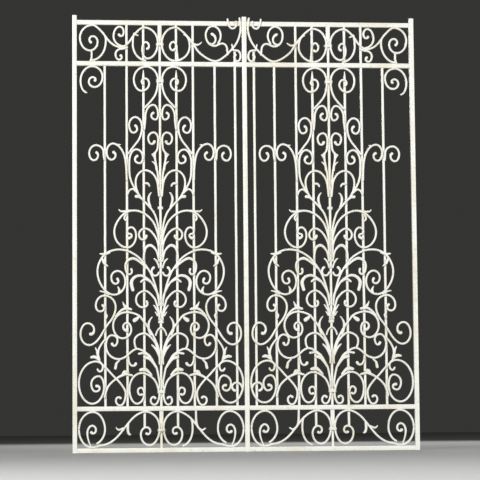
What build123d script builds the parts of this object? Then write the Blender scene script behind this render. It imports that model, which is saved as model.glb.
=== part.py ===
from build123d import *
import math
import os

# Wrought-iron window grille: two mirror-image panels of upright bars and scrollwork on a middle post.
# Millimetres. X runs along the window, Z is up, and the face with the scrolls looks along -Y.
# The origin is at the foot of the grille, under the middle of its width and depth.

# Driving dimensions of the frame
panel_reach = 300.0          # centre bar of a panel to the middle line of its stile, and to the mullion's
bottom_frieze = 144.0        # middle line of the bottom rail to that of the lower cross rail
main_field = 1212.0          # lower cross rail to upper cross rail
top_frieze = 147.0           # upper cross rail to top rail
stock = 16.0                 # square bar that stiles, mullion and rails are made of
stile_width = stock
mullion_width = stock
rail_height = stock
frame_depth = stock
stile_rise = 24.0            # stiles and mullion above the middle line of the top rail
top_rail_setback = 4.0       # front of the top rail behind the front of the frame

# Upright bars
bar_size = 8.0
bar_setback = 4.0            # front of the bars behind the front of the frame
first_gap = 58.0             # centre bar to the first bar on each side, between their middle lines
second_gap = 59.0            # first bar to the second
third_gap = 77.0             # second bar to the third
mullion_gap = 34.0           # bar beside the mullion to the mullion
first_bar_drop = 14.0        # tips of the first bars below the upper cross rail, inside the head scrolls
frieze_head_width = 14.0     # wider head of the centre bar in the friezes
frieze_head_length = 46.0
hanging_stub = 56.0          # short bars under the lower cross rail
standing_stub = 40.0         # short bars beside the mullion, on the upper cross rail

# Scrolls, cut from flat bar and bent on edge
flat_width = 6.8
flat_depth = 8.0
arc_rise = flat_width * 0.44         # rise of the true curve over the middle of its longest facets
facet_turn = 58.0            # most that the bar turns from one facet to the next, in degrees
stretch_steps = 12           # places tried for the corners of facets, along each stretch
least_piece = flat_width**2         # smaller offcuts of the butted scrolls are thrown away
bar_lap = 0.4                # scrolls that run along a centre bar lie this far over its edge
rail_lap = 1.0               # scrolls that touch a rail are cut flush this far into their edge
even_handle = 0.4            # handles of an S, as a share of its span

# Collars round the centre bars and their scrolls, and beads on the centre bars
strap = 2.5                  # thickness of the collar's strap
collar_slack = 0.4           # clear space between a collar's cheek and the scroll beside it
collar_height = 11.0
frieze_collar_height = 9.0
bead_width = 20.0
bead_height = 10.0
bead_wall = 3.0              # bead in front of its bar, and behind it

# Middle lines of the collars and beads, up from the middle line of the bottom rail
bottom_frieze_collar_line = 69.0
foot_collar_line = 202.0
lower_bead_line = 445.0
upper_bead_line = 845.0
head_collar_line = 1295.0
top_frieze_collar_line = 1425.0

# Heights of the middle lines of the rails
bottom_line = rail_height / 2
lower_line = bottom_line + bottom_frieze
upper_line = lower_line + main_field
top_line = upper_line + top_frieze
grille_height = top_line + stile_rise

# Distances of the bars' middle lines from the centre bar
first_bar = first_gap
second_bar = first_bar + second_gap
third_bar = second_bar + third_gap
mullion_bar = panel_reach - mullion_gap

# Places through the depth, from the front of the collars to the back of the frame
collar_front = -(strap + flat_depth + frame_depth - bar_setback) / 2
scroll_front = collar_front + strap
bar_front = scroll_front + flat_depth
bar_back = bar_front + bar_size
frame_front = bar_front - bar_setback
frame_back = frame_front + frame_depth

# The scrollwork is drawn on a grid of its own: across from the centre bar and up from the bottom
# rail's middle line. Scrolls that touch a centre bar or a rail lie on lines of the grid beside it.
drawn_bars = (0.0, 58.0, 117.0, 194.0, 266.0, 300.0)
drawn_rails = (0.0, 144.0, 1356.0, 1503.0, 1527.0)
beside = 7.0
off_rail = 10.4
bottom_foot = drawn_rails[0] + off_rail
bottom_head = drawn_rails[1] - off_rail
main_low = drawn_rails[1] + off_rail
main_high = drawn_rails[2] - off_rail
top_foot = drawn_rails[2] + off_rail
top_head = drawn_rails[3] - off_rail

# The drawing stretches with the bars and rails: each line of its grid, and where that is built
beside_bar = (bar_size + flat_width) / 2 - bar_lap
beside_rail = (rail_height + flat_width) / 2 - rail_lap
drawn_across = (drawn_bars[0], beside, *drawn_bars[1:])
built_across = (0.0, beside_bar, first_bar, second_bar, third_bar, mullion_bar, panel_reach)
drawn_height = (drawn_rails[0], bottom_foot, bottom_head, drawn_rails[1], main_low, main_high,
                drawn_rails[2], top_foot, top_head, *drawn_rails[3:])
built_height = (bottom_line, bottom_line + beside_rail, lower_line - beside_rail, lower_line,
                lower_line + beside_rail, upper_line - beside_rail, upper_line,
                upper_line + beside_rail, top_line - beside_rail, top_line, grille_height)

# Headings of the stations, a quarter turn apart: right, up, left and down
E, N, W, S = [quarter * 90 for quarter in range(4)]

os.makedirs("parts", exist_ok=True)


def along(value, drawn, built):
    """Carry a drawn distance to the built one, in proportion between the two lines beside it."""
    size = abs(value)
    for near, far, start, end in zip(drawn, drawn[1:], built, built[1:]):
        if size <= far or far == drawn[-1]:
            carried = start + (size - near) * (end - start) / (far - near)
            return math.copysign(carried, value)


def height_of(drawn):
    """Built height of a drawn one."""
    return along(drawn, drawn_height, built_height)


def station(across, height, heading, width=flat_width):
    """A place that a bent bar passes through, the way it heads there, and its width."""
    return (along(across, drawn_across, built_across), height_of(height), heading, width)


def turn_between(first, last):
    """Turn from one heading to another, between -180 and 180 degrees."""
    return (last - first + 180) % 360 - 180


def handles(span, lean_in, lean_out):
    """Lengths of the two handles that make a stretch a piece of an ellipse, or an S."""
    if lean_in * lean_out <= 0:
        return even_handle * span, even_handle * span
    quarter = math.radians(abs(lean_in) + abs(lean_out)) / 4
    whole = span * 2 / 3 * math.tan(quarter) / math.sin(2 * quarter)**2
    return whole * math.sin(math.radians(abs(lean_out))), whole * math.sin(math.radians(abs(lean_in)))


def stretch(first, last):
    """Places along a bent bar from one station to the next, each with its heading and width."""
    x0, z0, heading0, width0 = first
    x3, z3, heading3, width3 = last
    span = math.hypot(x3 - x0, z3 - z0)
    chord = math.degrees(math.atan2(z3 - z0, x3 - x0))
    reach0, reach3 = handles(span, turn_between(heading0, chord), turn_between(chord, heading3))
    x1 = x0 + reach0 * math.cos(math.radians(heading0))
    z1 = z0 + reach0 * math.sin(math.radians(heading0))
    x2 = x3 - reach3 * math.cos(math.radians(heading3))
    z2 = z3 - reach3 * math.sin(math.radians(heading3))
    places = []
    for step in range(stretch_steps + 1):
        t = step / stretch_steps
        s = 1 - t
        x = s**3 * x0 + 3 * s * s * t * x1 + 3 * s * t * t * x2 + t**3 * x3
        z = s**3 * z0 + 3 * s * s * t * z1 + 3 * s * t * t * z2 + t**3 * z3
        dx = s * s * (x1 - x0) + 2 * s * t * (x2 - x1) + t * t * (x3 - x2)
        dz = s * s * (z1 - z0) + 2 * s * t * (z2 - z1) + t * t * (z3 - z2)
        places.append((x, z, math.degrees(math.atan2(dz, dx)), width0 * s + width3 * t))
    return places


def corners(places):
    """The places that become corners of facets, closer together where the bar bends harder."""
    shares = [0.0]
    for first, last in zip(places, places[1:]):
        turn = abs(turn_between(first[2], last[2]))
        by_rise = math.sqrt(math.dist(first[:2], last[:2]) * math.radians(turn) / (8 * arc_rise))
        shares.append(shares[-1] + max(by_rise, turn / facet_turn))
    facets = max(1, int(shares[-1]))
    chosen = []
    for count in range(facets + 1):
        goal = shares[-1] * count / facets
        chosen.append(min(range(len(places)), key=lambda place: abs(shares[place] - goal)))
    return [places[place] for place in chosen]


def round_middle(*spots):
    """The corners of a facet, in their order round its middle."""
    x = sum(spot[0] for spot in spots) / len(spots)
    z = sum(spot[1] for spot in spots) / len(spots)
    return sorted(spots, key=lambda spot: math.atan2(spot[1] - z, spot[0] - x))


def facets_of(stroke, flipped):
    """Corners of each facet of a bent bar through its stations, moved to the left panel.

    A corner stands an eighth of its rise outside the true curve, so that each facet lies half
    outside it and half inside, and the edges of the bar are mitred there.
    """
    stations = [station(*entry) for entry in stroke]
    if flipped:
        stations = [(-x, z, 180 - heading, width) for x, z, heading, width in stations]
    places = stretch(stations[0], stations[1])
    for first, last in zip(stations[1:], stations[2:]):
        places += stretch(first, last)[1:]
    path = corners(places)
    spots = [path[0][:2]]
    for (x0, z0, *_), (x, z, *_), (x1, z1, *_) in zip(path, path[1:], path[2:]):
        spots.append((x + (2 * x - x0 - x1) / 16, z + (2 * z - z0 - z1) / 16))
    spots.append(path[-1][:2])
    ways = [math.degrees(math.atan2(b[1] - a[1], b[0] - a[0])) for a, b in zip(spots, spots[1:])]
    ends = []
    for spot, place, before, after in zip(spots, path, [path[0][2], *ways], [*ways, path[-1][2]]):
        turn = turn_between(before, after)
        heading = math.radians(before + turn / 2)
        half = place[3] / 2 / math.cos(math.radians(turn / 2))
        step = (half * math.sin(heading), half * math.cos(heading))
        left = (spot[0] - step[0] - panel_reach, spot[1] + step[1])
        right = (spot[0] + step[0] - panel_reach, spot[1] - step[1])
        ends.append((left, right))
    return [round_middle(*first, *last) for first, last in zip(ends, ends[1:])]


# Faces already taken by scrollwork in each half of the left panel, so that the pieces butt
taken = {"outer": [], "inner": []}

# The openings that the scrollwork may fill, as bottom and top heights
bottom_opening = (bottom_line + rail_height / 2, lower_line - rail_height / 2)
main_opening = (lower_line + rail_height / 2, upper_line - rail_height / 2)
top_opening = (upper_line + rail_height / 2, grille_height)


def near(face, other):
    """Whether the boxes round two faces meet."""
    a = face.bounding_box()
    b = other.bounding_box()
    return a.min.X < b.max.X and b.min.X < a.max.X and a.min.Y < b.max.Y and b.min.Y < a.max.Y


def cut_taken(drawing, halves):
    """Take away from the open sketch what earlier scrollwork of these halves fills."""
    earlier = [face for name in halves for face in taken[name]]
    for face in dict.fromkeys(earlier):
        if near(drawing.sketch, face):
            add(face, mode=Mode.SUBTRACT)


def scrollwork(label, opening, strokes, half="both"):
    """One forged design on each half-panel that has it, drawn as the left half of a panel.

    A design of the inner half alone is drawn as seen on the right half, and turned over.
    """
    bottom, top = opening
    clear = panel_reach - max(stile_width, mullion_width) / 2
    halves = ("outer", "inner") if half == "both" else (half,)
    with BuildSketch() as drawing:
        for stroke in strokes:
            for facet in facets_of(stroke, half == "inner"):
                with BuildLine():
                    Polyline(*facet, close=True)
                make_face()
        with Locations((-panel_reach - clear / 2, (bottom + top) / 2)):
            Rectangle(clear, top - bottom, mode=Mode.INTERSECT)
        cut_taken(drawing, halves)
    kept = drawing.faces().filter_by(lambda face: face.area > least_piece)
    for name in halves:
        taken[name] += kept
    with BuildPart() as design:
        with BuildSketch(Plane.XZ.offset(-bar_front)):
            add(kept)
        extrude(amount=flat_depth)
        if half == "both":
            mirror(about=Plane.YZ.offset(-panel_reach))
        if half == "inner":
            mirror(about=Plane.YZ.offset(-panel_reach), mode=Mode.REPLACE)
        mirror(about=Plane.YZ)
    design.part.label = label
    export_step(design.part, f"parts/{label}.step")


def upright(label, places, width, bottom, top, front, back):
    """Straight bars of one size, standing at the given places along the grille."""
    with BuildPart() as bars:
        with BuildSketch(Plane.XY.offset(bottom)):
            with Locations(*[(place, (front + back) / 2) for place in places]):
                Rectangle(width, back - front)
        extrude(amount=top - bottom)
    bars.part.label = label
    export_step(bars.part, f"parts/{label}.step")


def rails(label, line, front):
    """The same rail of both panels, each between its stile and the mullion."""
    inner_end = mullion_width / 2
    outer_end = 2 * panel_reach - stile_width / 2
    middle = (inner_end + outer_end) / 2
    with BuildPart() as pair:
        with BuildSketch(Plane.XY.offset(line - rail_height / 2)):
            with Locations((-middle, (front + frame_back) / 2), (middle, (front + frame_back) / 2)):
                Rectangle(outer_end - inner_end, frame_back - front)
        extrude(amount=rail_height)
    pair.part.label = label
    export_step(pair.part, f"parts/{label}.step")


def headed_bars(label, openings):
    """Centre bars of the friezes: the upper end of each, under its rail, is a wider head."""
    depth_middle = (bar_front + bar_back) / 2
    with BuildPart() as bars:
        for foot, head in openings:
            shoulder = head - frieze_head_length
            for start, end, width in ((foot, shoulder, bar_size), (shoulder, head, frieze_head_width)):
                with BuildSketch(Plane.XY.offset(start)):
                    with Locations((-panel_reach, depth_middle), (panel_reach, depth_middle)):
                        Rectangle(width, bar_size)
                extrude(amount=end - start)
    bars.part.label = label
    export_step(bars.part, f"parts/{label}.step")


def collars(label, lines, height):
    """Straps that hold the centre bar and the scroll on each side of it together.

    Each has a face over the scrolls, a back behind the bar, and a cheek on each side that
    stands clear of the scrolls.
    """
    inside = 2 * (beside_bar + flat_width / 2 + collar_slack)
    with BuildSketch() as cheeks:
        with Locations(*[(-panel_reach - (inside + strap) / 2, line) for line in lines]):
            Rectangle(strap, height)
        cut_taken(cheeks, ("outer", "inner"))
        mirror(about=Plane.YZ.offset(-panel_reach))
    with BuildSketch() as plates:
        with Locations(*[(-panel_reach, line) for line in lines]):
            Rectangle(inside + 2 * strap, height)
    with BuildPart() as straps:
        for profile, back, depth in (
            (plates, scroll_front, strap),
            (cheeks, bar_back, bar_back - scroll_front),
            (plates, bar_back + strap, strap),
        ):
            with BuildSketch(Plane.XZ.offset(-back)):
                add(profile.sketch)
            extrude(amount=depth)
        mirror(about=Plane.YZ)
    straps.part.label = label
    export_step(straps.part, f"parts/{label}.step")


def beads(label, lines):
    """Small blocks threaded on the centre bars."""
    depth_middle = (bar_front + bar_back) / 2
    with BuildPart() as blocks:
        for line in lines:
            with BuildSketch(Plane.XY.offset(line - bead_height / 2)):
                with Locations((-panel_reach, depth_middle), (panel_reach, depth_middle)):
                    Rectangle(bead_width, bar_size + 2 * bead_wall)
                    Rectangle(bar_size, bar_size, mode=Mode.SUBTRACT)
            extrude(amount=bead_height)
    blocks.part.label = label
    export_step(blocks.part, f"parts/{label}.step")


# Frame
upright("left_stile", [-2 * panel_reach], stile_width, 0, grille_height, frame_front, frame_back)
upright("right_stile", [2 * panel_reach], stile_width, 0, grille_height, frame_front, frame_back)
upright("mullion", [0], mullion_width, 0, grille_height, frame_front, frame_back)
rails("bottom_rails", bottom_line, frame_front)
rails("lower_cross_rails", lower_line, frame_front)
rails("upper_cross_rails", upper_line, frame_front)
rails("top_rails", top_line, frame_front + top_rail_setback)


def pitch_places(*pitches):
    """Places along the grille of the bars at these distances on both sides of each centre bar."""
    return [
        side * panel_reach + offset
        for side in (-1, 1)
        for pitch in pitches
        for offset in (-pitch, pitch)
    ]


# Upright bars between the rails
main_foot, main_head = main_opening
mullion_places = [mullion_bar - panel_reach, panel_reach - mullion_bar]
upright("centre_bars", [-panel_reach, panel_reach], bar_size, main_foot, main_head, bar_front, bar_back)
upright("first_bars", pitch_places(first_bar), bar_size, main_foot, main_head - first_bar_drop,
        bar_front, bar_back)
upright("second_bars", pitch_places(second_bar), bar_size, main_foot, main_head, bar_front, bar_back)
upright("third_bars", pitch_places(third_bar), bar_size, main_foot, main_head, bar_front, bar_back)
upright("mullion_side_bars", mullion_places, bar_size, main_foot, main_head, bar_front, bar_back)

# Upright bars of the friezes
frieze_foot = top_opening[0]
frieze_head = top_line - rail_height / 2
stub_head = bottom_opening[1]
headed_bars("frieze_centre_bars", (bottom_opening, (frieze_foot, frieze_head)))
upright("top_frieze_bars", pitch_places(first_bar, second_bar), bar_size, frieze_foot, frieze_head,
        bar_front, bar_back)
upright("mullion_stubs", mullion_places, bar_size, frieze_foot, frieze_foot + standing_stub,
        bar_front, bar_back)
upright("bottom_frieze_stubs", pitch_places(first_bar), bar_size, stub_head - hanging_stub, stub_head,
        bar_front, bar_back)

# Top frieze
scrollwork("top_frieze_s_scrolls", top_opening, [
    [(-240, 1427, 135), (-248, 1439, N), (-236, 1452, E), (-219, 1432, S), (-246, 1401, W),
     (-281, 1446, N), (-236, top_head, E), (-186, 1444, 305), (-137, 1414, E), (-101, 1443, 58),
     (-55, 1485, E), (-beside, 1432, S), (-43, 1374, W), (-62, 1406, N), (-50, 1433, E),
     (-38, 1418, S), (-48, 1409, 170)],
    [(-200, 1470, 300), (-190, 1435, S), (-240, top_foot, W)],
    [(-88, 1466, 225), (-95, 1425, S), (-48, top_foot, E)],
    [(-240, 1400, S), (-240, 1380, S), (-246, 1362, 240)],
], half="outer")

scrollwork("top_frieze_c_scrolls", top_opening, [
    [(-144, 1462, S), (-136, 1453, E), (-127, 1468, N), (-141, 1487, W), (-163, 1452, S), (-125, 1417, E)],
    [(-112, 1414, 190), (-135, 1408, W), (-156, 1388, S), (-143, 1369, E), (-134, 1379, N),
     (-141, 1386, 150)],
], half="outer")

scrollwork("top_frieze_sweeping_scrolls", top_opening, [
    [(84, 1461, E), (106, 1420, S), (52, top_foot, W)],
    [(52, top_foot, W), (beside, 1430, N), (56, 1486, E), (113, 1436, 308), (144, 1393, 320),
     (197, top_foot, E), (260, 1415, 50), (287, 1484, 87), (283, 1527, 98)],
    [(63, top_foot, N), (60, 1412, N), (48, 1434, W), (36, 1418, S), (47, 1404, E)],
    [(110, 1439, 300), (118, 1428, 340), (134, 1424, E), (149, 1434, 40, 5)],
], half="inner")

scrollwork("top_frieze_rings", top_opening, [
    [(181, 1464, E), (198, 1444, S), (184, 1427, 190), (163, 1460, N), (189, top_head, E), (216, 1457, S),
     (205, 1429, 230)],
    [(170, 1434, 305), (193, 1421, E), (222, 1430, E), (239, 1408, S), (241, 1388, S)],
], half="inner")

scrollwork("top_frieze_hooks", top_opening, [
    [(241, 1520, S), (258, 1484, E), (272, 1502, N), (269, 1511, 120)],
], half="inner")

scrollwork("mullion_volutes", top_opening, [
    [(258, 1406, 20), (276, 1405, 350), (286, 1385, S), (275, top_foot, W), (264, 1382, N), (271, 1392, 30)],
], half="inner")

# Head of the main field
scrollwork("corner_scrolls", main_opening, [
    [(-231, 1291, 50), (-226, 1298, N), (-236, 1306, W), (-250, 1290, S), (-230, 1271, E),
     (-202, 1308, N), (-238, main_high, W), (-279, 1292, S), (-256, 1251, E)],
], half="outer")

scrollwork("head_scrolls", main_opening, [
    [(-55, 1281, 150), (-64, 1292, N), (-52, 1303, E), (-38, 1285, S), (-65, 1259, W), (-92, 1300, N),
     (-48, main_high, E), (-beside, 1296, S), (-20, 1239, 240), (-56, 1197, 225)],
])

scrollwork("head_curls", main_opening, [
    [(-20, 1181, 180), (-31, 1171, S), (-16, 1157, E), (-beside, 1176, N), (-24, 1209, W), (-52, 1165, S),
     (-56, 1120, 265)],
])

scrollwork("shoulder_scrolls", main_opening, [
    [(-91, 1135, 20), (-81, 1123, S), (-95, 1110, W), (-109, 1137, N), (-87, 1165, E), (-64, 1130, S),
     (-84, 1073, 230), (-114, 1034, 230)],
])

scrollwork("throat_curls", main_opening, [
    [(-20, 1083, S), (-30, 1070, W), (-42, 1091, N), (-23, 1111, E), (-beside, 1086, S), (-9, 1058, 265),
     (-18, 1040, 225), (-31, 1033, 200, 3)],
    [(-30, 1033, 345, 4), (-19, 1020, 300), (-11, 975, 280, 7), (-beside, 925, S, 6)],
])

scrollwork("bar_volutes", main_opening, [
    [(-227, 1040, E), (-218, 1029, S), (-233, 1012, W), (-249, 1037, N), (-225, 1065, E), (-199, 1040, S),
     (-196, 1012, 280)],
])

scrollwork("side_volutes", main_opening, [
    [(-168, 1041, E), (-157, 1030, S), (-172, 1014, W), (-188, 1041, N), (-166, 1071, E), (-129, 1037, 292),
     (-119, 970, 272), (-118, 940, S)],
])

scrollwork("neck_scrolls", main_opening, [
    [(-77, 1028, W), (-89, 1014, S), (-73, 1002, E), (-61, 1022, N), (-84, 1051, W), (-109, 1005, S),
     (-107, 955, 280), (-82, 902, 308)],
])

# Middle of the main field
scrollwork("heart_scrolls", main_opening, [
    [(-5, 884, 95), (-9, 925, 97), (-52, 977, W), (-87, 935, S), (-62, 873, 315), (-24, 829, 300),
     (-beside, 768, 278)],
    [(-115, 890, N), (-97, 911, E), (-76, 893, 315)],
])

scrollwork("heart_leaves", main_opening, [
    [(-90, 885, E, 11), (-75, 884, 345, 10), (-60, 872, 320, 6)],
    [(-58, 931, E, 7), (-46, 931, 350, 8), (-38, 919, 280, 6)],
    [(-31, 899, 215, 4), (-42, 875, S, 9), (-33, 845, 295, 6)],
])

scrollwork("upper_roundels", main_opening, [
    [(-115, 737, 10), (-101, 746, N), (-108, 753, 190), (-117, 763, N), (-103, 776, E), (-86, 748, S),
     (-117, 705, W), (-162, 760, N), (-140, 812, 50), (-88, 835, 355), (-30, 800, 308), (-beside, 738, 280)],
    [(-146, 840, 290, 4), (-134, 832, E), (-100, 835, E)],
])

scrollwork("upper_buds", main_opening, [
    [(-50, 750, S), (-63, 733, W), (-76, 750, N), (-54, 772, E), (-18, 742, 306), (-beside, 700, 283)],
])

scrollwork("hooked_leaves", main_opening, [
    [(-60, 660, N, 6), (-57, 692, 80, 9), (-37, 713, E, 10), (-15, 693, 300), (-6, 655, 280, 6)],
])

scrollwork("middle_roundels", main_opening, [
    [(-150, 599, 225), (-148, 586, 265), (-159, 578, W), (-173, 600, N), (-151, 623, E), (-124, 585, S),
     (-164, 540, W), (-203, 566, 125), (-221, 622, N), (-200, 676, 50), (-145, 698, E), (-80, 673, 322),
     (-41, 625, 303), (-10, 532, 282)],
    [(-214, 684, 335, 4), (-197, 682, E, 9), (-176, 688, 20)],
    [(-214, 553, 345, 4), (-196, 549, 340), (-180, 541, 345)],
])

scrollwork("inner_hooks", main_opening, [
    [(-106, 631, E), (-101, 621, S), (-110, 611, W), (-124, 640, N), (-97, 667, E, 10), (-62, 645, 318),
     (-51, 631, 312)],
])

scrollwork("palm_leaves", main_opening, [
    [(-96, 552, 110, 11), (-103, 580, N, 12), (-72, 607, E, 9), (-38, 588, 318), (-11, 542, 295, 7)],
    [(-72, 583, 40, 9), (-55, 594, E, 9), (-31, 580, 320, 6)],
])

scrollwork("heart_curls", main_opening, [
    [(-21, 636, 190), (-32, 621, S), (-20, 606, E), (-beside, 620, N)],
])

scrollwork("middle_buds", main_opening, [
    [(-53, 517, 0), (-47, 507, S), (-64, 496, W), (-87, 522, N), (-55, 553, E), (-21, 525, 306),
     (-beside, 478, 285)],
])

# Foot of the main field
scrollwork("side_s_scrolls", main_opening, [
    [(-207, 504, E), (-198, 493, S), (-212, 482, W), (-227, 502, N), (-197, 537, E), (-158, 497, S),
     (-182, 441, 228), (-207, 402, 240), (-250, 365, W), (-280, 402, N), (-256, 441, E), (-233, 418, S),
     (-243, 403, W, 11), (-250, 405, 170, 11)],
])

scrollwork("lower_roundels", main_opening, [
    [(-114, 415, 190), (-132, 428, N), (-118, 442, E), (-104, 418, S), (-134, 388, W), (-167, 432, N),
     (-120, 479, E), (-76, 466, 327), (-48, 430, 306), (-26, 393, 298), (-beside, 342, 282)],
])

scrollwork("crown_leaves", main_opening, [
    [(-160, 462, 55, 5), (-122, 492, E, 10), (-101, 488, 340, 8)],
    [(-134, 516, 290, 3), (-126, 500, 310, 10), (-112, 492, 330, 10)],
    [(-98, 447, 20, 12), (-84, 456, 28, 9), (-72, 465, 20, 5)],
])

scrollwork("lyre_leaves", main_opening, [
    [(-30, 463, 225, 4), (-44, 432, S, 9), (-34, 398, 305, 7)],
    [(-27, 504, 320, 4), (-15, 488, 307, 7), (-6, 460, 285, 5)],
    [(0, 425, W, 6), (-13, 414, 240, 6), (-19, 396, 260, 6)],
])

scrollwork("lower_s_scrolls", main_opening, [
    [(-171, 373, S), (-163, 362, E), (-152, 382, N), (-171, 399, W), (-192, 365, S), (-150, 316, E),
     (-113, 333, 45), (-83, 351, E), (-42, 329, 321), (-17, 287, 298), (-beside, 240, 280)],
    [(-114, 326, 265), (-99, 292, E), (-88, 304, N)],
    [(-143, 313, 215, 5), (-157, 297, 265, 9), (-160, 280, 265, 10)],
])

scrollwork("fern_arcs", main_opening, [
    [(-84, 351, 150), (-93, 378, N), (-58, 405, E), (-22, 374, 305), (-beside, 326, 283)],
    [(-81, 334, 0, 10), (-60, 336, 355), (-40, 324, 325, 6)],
    [(-62, 321, 0, 10), (-42, 318, 340, 12), (-17, 284, 300, 6)],
    [(-34, 366, 325, 4), (-20, 352, 310, 8), (-6, 320, 290, 6)],
])

scrollwork("acanthus_sprays", main_opening, [
    [(-247, 322, 5, 9), (-235, 324, E, 11), (-212, 312, 335, 9)],
    [(-229, 357, 280, 4), (-222, 340, 275, 9), (-216, 314, 280, 9)],
])

scrollwork("crossing_scrolls", main_opening, [
    [(-192, 388, 228, 6), (-218, 346, 260), (-216, 311, 285), (-198, 291, 318), (-158, 249, 315),
     (-124, 197, S), (-143, main_low, W), (-158, 172, N), (-148, 184, E), (-141, 177, S)],
])

scrollwork("base_scrolls", main_opening, [
    [(-229, 222, 20), (-214, 215, S), (-228, 204, W), (-243, 230, N), (-217, 257, E), (-199, 220, S),
     (-240, 162, W), (-286, 232, N), (-228, 308, E), (-206, 299, 320)],
    [(-222, 284, 280), (-213, 273, E), (-203, 289, N), (-213, 305, 150)],
])

scrollwork("base_links", main_opening, [
    [(-197, 180, N), (-188, 214, 70), (-155, 249, 35), (-124, 264, 20, 10), (-98, 258, 345)],
    [(-137, 262, 60, 4), (-128, 272, 10, 10), (-112, 270, 340, 6)],
])

scrollwork("base_roundels", main_opening, [
    [(-74, 191, W), (-82, 205, N), (-70, 216, E), (-60, 196, S), (-85, 161, W),
     (-111, 212, N), (-68, 267, E), (-28, 248, 317), (-beside, 192, 278)],
    [(-77, 276, 20, 12), (-58, 280, E, 14), (-32, 258, 310, 6)],
])

scrollwork("foot_curls", main_opening, [
    [(-beside, 196, S), (-24, 157, W), (-37, 171, N), (-26, 183, 350)],
])

scrollwork("mullion_curls", main_opening, [
    [(261, 204, 190), (247, 217, N), (263, 232, E), (282, 212, S)],
], half="inner")

# Bottom frieze
scrollwork("bottom_frieze_s_scrolls", bottom_opening, [
    [(-226, 23, 25), (-196, 73, N), (-238, bottom_head, W), (-286, 73, S)],
    [(-286, 73, S), (-240, bottom_foot, E), (-208, 18, 5), (-142, 60, 52), (-105, 106, 45),
     (-55, bottom_head, E), (-beside, 78, S), (-42, 17, W), (-72, 55, N), (-52, 79, E), (-39, 66, S),
     (-48, 55, W), (-55, 60, 140)],
])

scrollwork("bottom_frieze_eyes", bottom_opening, [
    [(-243, 11, 120, 4), (-257, 60, N, 7), (-240, 86, E), (-227, 71, S), (-237, 59, W), (-246, 66, 130)],
])

scrollwork("bottom_frieze_leaves", bottom_opening, [
    [(-158, 80, 295, 4), (-148, 71, E), (-130, 79, 30, 6)],
    [(-114, 96, 250, 5), (-117, 75, 265, 9), (-114, 58, 290, 9), (-106, 54, E)],
], half="outer")

scrollwork("bottom_frieze_arcs", bottom_opening, [
    [(102, 109, 305), (108, 72, S), (72, 14, 190)],
    [(120, 136, S, 7), (121, 97, 275, 8), (143, 68, E), (154, 75, 35, 5)],
], half="inner")

# Collars and beads
collars("main_collars", [height_of(foot_collar_line), height_of(head_collar_line)], collar_height)
collars("frieze_collars", [height_of(bottom_frieze_collar_line), height_of(top_frieze_collar_line)],
        frieze_collar_height)
beads("centre_bar_beads", [height_of(lower_bead_line), height_of(upper_bead_line)])
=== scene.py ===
import logging
import math
from dataclasses import dataclass, field
from enum import Enum

import bpy
from mathutils import Matrix, Vector


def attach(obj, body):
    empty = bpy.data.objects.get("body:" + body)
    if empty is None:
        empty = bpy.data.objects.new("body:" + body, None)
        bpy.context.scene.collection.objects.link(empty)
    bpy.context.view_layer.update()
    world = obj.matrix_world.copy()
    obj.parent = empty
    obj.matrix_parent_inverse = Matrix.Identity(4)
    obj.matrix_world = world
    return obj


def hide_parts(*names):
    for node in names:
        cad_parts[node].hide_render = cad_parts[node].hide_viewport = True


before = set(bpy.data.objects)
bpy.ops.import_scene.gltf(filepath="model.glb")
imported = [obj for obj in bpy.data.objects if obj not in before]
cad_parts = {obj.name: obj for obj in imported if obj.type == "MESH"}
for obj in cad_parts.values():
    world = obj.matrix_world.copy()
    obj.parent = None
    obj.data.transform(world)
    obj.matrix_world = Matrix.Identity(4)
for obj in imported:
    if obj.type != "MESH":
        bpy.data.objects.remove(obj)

log = logging.getLogger("grille")

Spot = tuple[float, float]
Triple = tuple[float, float, float]
Station = tuple[float, ...]
Stroke = list[Station]
Socket = bpy.types.NodeSocket

MM = 0.001
E, N, W, S = 0, 90, 180, 270         # headings of stations, in degrees
EYE, STEM = 11, 5                    # widths in mm of a scroll's eye and of a strand's end along a stem
FLAT_CROWN, LEAF_CROWN = 0.6, 1.2    # how far a front is domed, in mm
EVEN_HANDLE = 0.4                    # share of an S-shaped stretch that each of its handles takes


class Half(Enum):
    """Halves of a panel, beside the stile or beside the mullion, that carry a design."""

    BOTH = "both"
    OUTER = "outer"
    INNER = "inner"


class Plane(Enum):
    """Plane that a bent bar lies in: its turn in radians, and the way that a millimetre moves it."""

    UPRIGHT = ((math.pi / 2, 0.0, 0.0), (0.0, MM, 0.0))
    LEVEL = ((0.0, 0.0, 0.0), (0.0, 0.0, MM))


@dataclass(frozen=True)
class Depths:
    """Places through the depth of the grille, in mm, from the collars at the front to the frame at the back."""

    collar_front: float = -11.25
    scroll_front: float = -8.75
    frame_front: float = -4.75
    bar_front: float = -0.75
    bar_back: float = 7.25
    frame_back: float = 11.25


@dataclass(frozen=True)
class Layout:
    """Sizes of the grille that several sub-assemblies share, in mm."""

    panel_reach: float = 300.0
    first_bar: float = 58.0
    second_bar: float = 117.0
    third_bar: float = 194.0
    mullion_bar: float = 266.0
    rail_height: float = 16.0
    bottom_line: float = 8.0
    lower_line: float = 152.0
    upper_line: float = 1364.0
    top_line: float = 1511.0
    height: float = 1535.0
    depths: Depths = Depths()

    def pitches(self, *pitches: float) -> list[float]:
        """Places along the grille of the bars beside both centre bars.

        Args:
            pitches: Distances from the centre bar of a panel, in mm.

        Returns:
            Every place of such a bar, in mm from the middle of the grille.
        """
        return [side * self.panel_reach + offset for side in (-1, 1) for pitch in pitches for offset in (-pitch, pitch)]


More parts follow.
